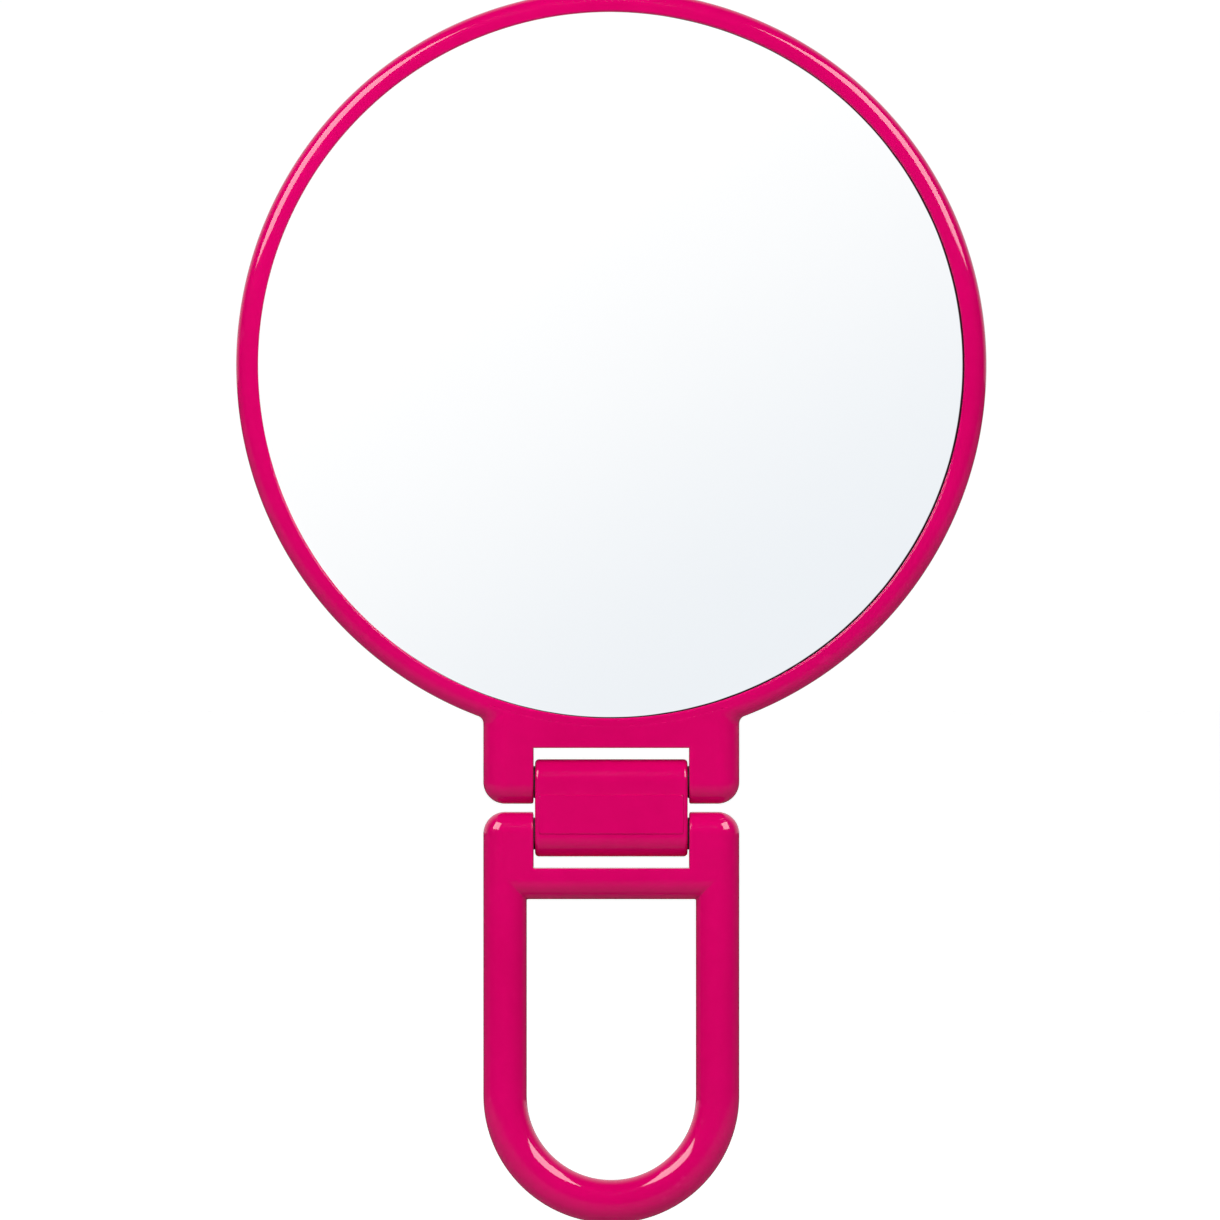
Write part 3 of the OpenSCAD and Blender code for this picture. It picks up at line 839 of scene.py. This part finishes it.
studio = {
    "floorDrop": 100 * mm,      # clearance under the handle, so that the folded head has room
    "floorColour": (0.9, 0.9, 0.9, 1.0),
    "floorBounce": 0.6,         # share of the floor's colour that the plastic is lit by
    "floorGloss": 0.2,          # share of it that the plastic mirrors
    "floorGlow": (0.3, 0.8),    # lift towards white, close by and far away
    "floorGlowGrows": (0.3, 2.0),    # between which distances it grows
    "floorMirrored": (-0.55, -0.1),  # depths between which the plastic begins to mirror the floor
    "floorSize": 40.0,
    "floorCloud": 3.0,
    "floorShade": (0.97, 1.0),
    "floorRoughness": 0.9,
    "tentWhite": 0.8,
    "tentFade": (-0.75, -0.1),  # directions between which the tent darkens, -1 back and 1 front
    "paper": 1.02,              # radiance of plain white behind and in front
    "boxTilt": 62.0,            # angle between a softbox and the line to the camera
    "boxTurn": 42.0,            # height of each softbox round that line
    "boxDistance": 1.0,
    "boxLength": 0.64,
    "boxWidth": 0.6,
    "boxGlow": 7.5,             # radiance of the softboxes
    "keyFrom": (-0.12, -0.7, 0.7),
    "keyDistance": 1.8,
    "keySize": 0.9,
    "keyGlow": 9.75,
    "fillAway": 1.6,
    "fillSize": 5.0,
    "fillGlow": 0.72,
    "sideAway": 2.0,
    "sideForward": 0.3,
    "sideSize": 3.0,
    "sideGlow": 0.75,
    "farCardAway": 2.6,
    "farCardSize": 7.0,
    "nearCards": 0.45,          # share of the white that the glasses see close by
    "cardSize": 3.2,
    "cardAway": 0.25,
    "cardLift": 0.02 * mm,      # how far the card on the floor lies over it
    "aimHigh": 0.04,            # where the lights aim, above the upper hinge
}


def makeFloor():
    low, high = cadBounds
    bpy.ops.mesh.primitive_plane_add(size=studio["floorSize"], location=(0, 0, low[2] - studio["floorDrop"]))
    floor = bpy.context.object
    floor.name = "studioFloor"
    material, tree, shader = newMaterial("paleFloor")
    place = addNode(tree, "ShaderNodeTexCoord")
    cloud = addNode(tree, "ShaderNodeTexNoise", {"Vector": place.outputs["Object"],
                                                 "Scale": studio["floorCloud"], "Detail": 2.0})
    darkest, lightest = studio["floorShade"]
    shade = addNode(tree, "ShaderNodeMapRange", {"Value": cloud.outputs["Fac"], "To Min": darkest,
                                                 "To Max": lightest})
    seen = addNode(tree, "ShaderNodeLightPath")
    bounce = mathNode(tree, "MULTIPLY", mathNode(tree, "SUBTRACT", 1.0, seen.outputs["Is Glossy Ray"]),
                      studio["floorBounce"] - studio["floorGloss"])
    indirect = mathNode(tree, "ADD", bounce, studio["floorGloss"])
    share = mathNode(tree, "MAXIMUM", indirect, seen.outputs["Is Camera Ray"])
    # the plastic mirrors the floor under it but not the dark floor towards the camera
    apart = addNode(tree, "ShaderNodeSeparateXYZ", {"Vector": place.outputs["Object"]})
    dark, bright = studio["floorMirrored"]
    near = addNode(tree, "ShaderNodeMapRange", {"Value": apart.outputs["Y"], "From Min": dark,
                                                "From Max": bright})
    far = mathNode(tree, "MAXIMUM", near.outputs["Result"],
                   mathNode(tree, "SUBTRACT", 1.0, seen.outputs["Is Glossy Ray"]))
    level = mathNode(tree, "MULTIPLY", mathNode(tree, "MULTIPLY", share, far), shade.outputs["Result"])
    tree.links.new(mixColour(tree, 1.0, studio["floorColour"], level, "MULTIPLY"),
                   shader.inputs["Base Color"])
    shader.inputs["Roughness"].default_value = studio["floorRoughness"]
    shader.inputs["Emission Color"].default_value = (1, 1, 1, 1)
    away = addNode(tree, "ShaderNodeVectorMath", {0: place.outputs["Object"]}, operation="LENGTH")
    growsFrom, growsTo = studio["floorGlowGrows"]
    closeBy, farAway = studio["floorGlow"]
    glow = addNode(tree, "ShaderNodeMapRange", {"Value": away.outputs["Value"],
                                                "From Min": growsFrom, "From Max": growsTo,
                                                "To Min": closeBy, "To Max": farAway})
    tree.links.new(mathNode(tree, "MULTIPLY", seen.outputs["Is Camera Ray"], glow.outputs["Result"]),
                   shader.inputs["Emission Strength"])
    floor.data.materials.append(material)


def makeWorld():
    # a white tent round the sides and back, dark towards the camera
    world = bpy.data.worlds.new("lightTent")
    bpy.context.scene.world = world
    world.use_nodes = True
    tree = world.node_tree
    tree.nodes.clear()
    place = addNode(tree, "ShaderNodeTexCoord")
    apart = addNode(tree, "ShaderNodeSeparateXYZ", {"Vector": place.outputs["Generated"]})
    toFront = mathNode(tree, "MULTIPLY", apart.outputs["Y"], -1.0)
    white, black = studio["tentFade"]
    level = addNode(tree, "ShaderNodeMapRange", {"Value": toFront, "From Min": white, "From Max": black,
                                                 "To Min": studio["tentWhite"], "To Max": 0.0},
                    interpolation_type="SMOOTHSTEP")
    seen = addNode(tree, "ShaderNodeLightPath")
    strength = addNode(tree, "ShaderNodeMix", data_type="FLOAT")
    tree.links.new(seen.outputs["Is Camera Ray"], strength.inputs[0])
    tree.links.new(level.outputs["Result"], strength.inputs[2])
    strength.inputs[3].default_value = studio["paper"]
    background = addNode(tree, "ShaderNodeBackground", {"Color": (1, 1, 1, 1),
                                                        "Strength": strength.outputs[0]})
    output = addNode(tree, "ShaderNodeOutputWorld")
    tree.links.new(background.outputs["Background"], output.inputs["Surface"])


def addArea(name, position, target, width, height, radiance):
    data = bpy.data.lights.new(name, "AREA")
    data.shape = "RECTANGLE"
    data.size = width
    data.size_y = height
    data.energy = math.pi * width * height * radiance
    light = bpy.data.objects.new(name, data)
    bpy.context.scene.collection.objects.link(light)
    light.location = position
    light.rotation_euler = (Vector(target) - Vector(position)).to_track_quat("-Z", "Y").to_euler()
    light.visible_camera = False
    return light


def makeLights():
    aim = jointAt["upper_hinge"] + Vector((0, 0, studio["aimHigh"]))
    tilt, turn = math.radians(studio["boxTilt"]), math.radians(studio["boxTurn"])
    for side, name in ((-1, "leftSoftbox"), (1, "rightSoftbox")):
        direction = Vector((side * math.cos(turn) * math.sin(tilt), -math.cos(tilt),
                            math.sin(turn) * math.sin(tilt)))
        box = addArea(name, aim + direction * studio["boxDistance"], aim, studio["boxWidth"],
                      studio["boxLength"], studio["boxGlow"])
        box.visible_diffuse = False
    # broad lights that shape the plastic without showing in it as reflections
    towards = Vector(studio["keyFrom"]).normalized()
    key = addArea("softKey", aim + towards * studio["keyDistance"], aim, studio["keySize"], studio["keySize"],
                  studio["keyGlow"])
    fill = addArea("softFill", (0, -studio["fillAway"], aim.z), aim, studio["fillSize"],
                   studio["fillSize"], studio["fillGlow"])
    shaping = [key, fill]
    for side, name in ((-1, "leftSide"), (1, "rightSide")):
        shaping.append(addArea(name, (side * studio["sideAway"], -studio["sideForward"], aim.z), aim,
                               studio["sideSize"], studio["sideSize"], studio["sideGlow"]))
    for light in shaping:
        light.visible_glossy = False
    # white cards that only the glasses see: far off in front, near on each side and on the floor
    near, size, away = studio["nearCards"], studio["cardSize"], studio["cardAway"]
    cards = [addArea("mirrorCard", (0, -studio["farCardAway"], aim.z), aim, studio["farCardSize"],
                     studio["farCardSize"], studio["paper"] - near)]
    for side, name in ((-1, "frontCard"), (1, "rearCard")):
        cards.append(addArea(name, (0, side * away, aim.z), aim, size, size, near))
    justOver = Vector((0, 0, cadBounds[0][2] - studio["floorDrop"] + studio["cardLift"]))
    cards.append(addArea("floorCard", justOver, justOver + Vector((0, 0, 1)), size, 2 * away, near))
    seenBy = bpy.data.collections.new("mirrorOnly")
    for glass in (nodes["front_glass"], magnifier):
        seenBy.objects.link(glass)
    for card in cards:
        card.light_linking.receiver_collection = seenBy


view = {
    "frameHeight": 243.4 * mm,      # what the picture spans at the mirror's front
    "distance": 2.0,
    "farthest": 100.0,
    "sensor": 36.0,
    "across": -0.26 * mm,
    "aboveLowerHinge": 44.7 * mm,
}


def makeCamera():
    low, high = cadBounds
    data = bpy.data.cameras.new("frontCamera")
    data.sensor_width = view["sensor"]
    data.lens = view["sensor"] * view["distance"] / view["frameHeight"]
    data.clip_end = view["farthest"]
    camera = bpy.data.objects.new("frontCamera", data)
    bpy.context.scene.collection.objects.link(camera)
    camera.location = (view["across"], low[1] - view["distance"], lowerZ + view["aboveLowerHinge"])
    camera.rotation_euler = (math.radians(90), 0, 0)
    bpy.context.scene.camera = camera


print("setting the studio")
makeFloor()
makeWorld()
makeLights()
makeCamera()
bpy.context.scene.view_settings.view_transform = "Standard"
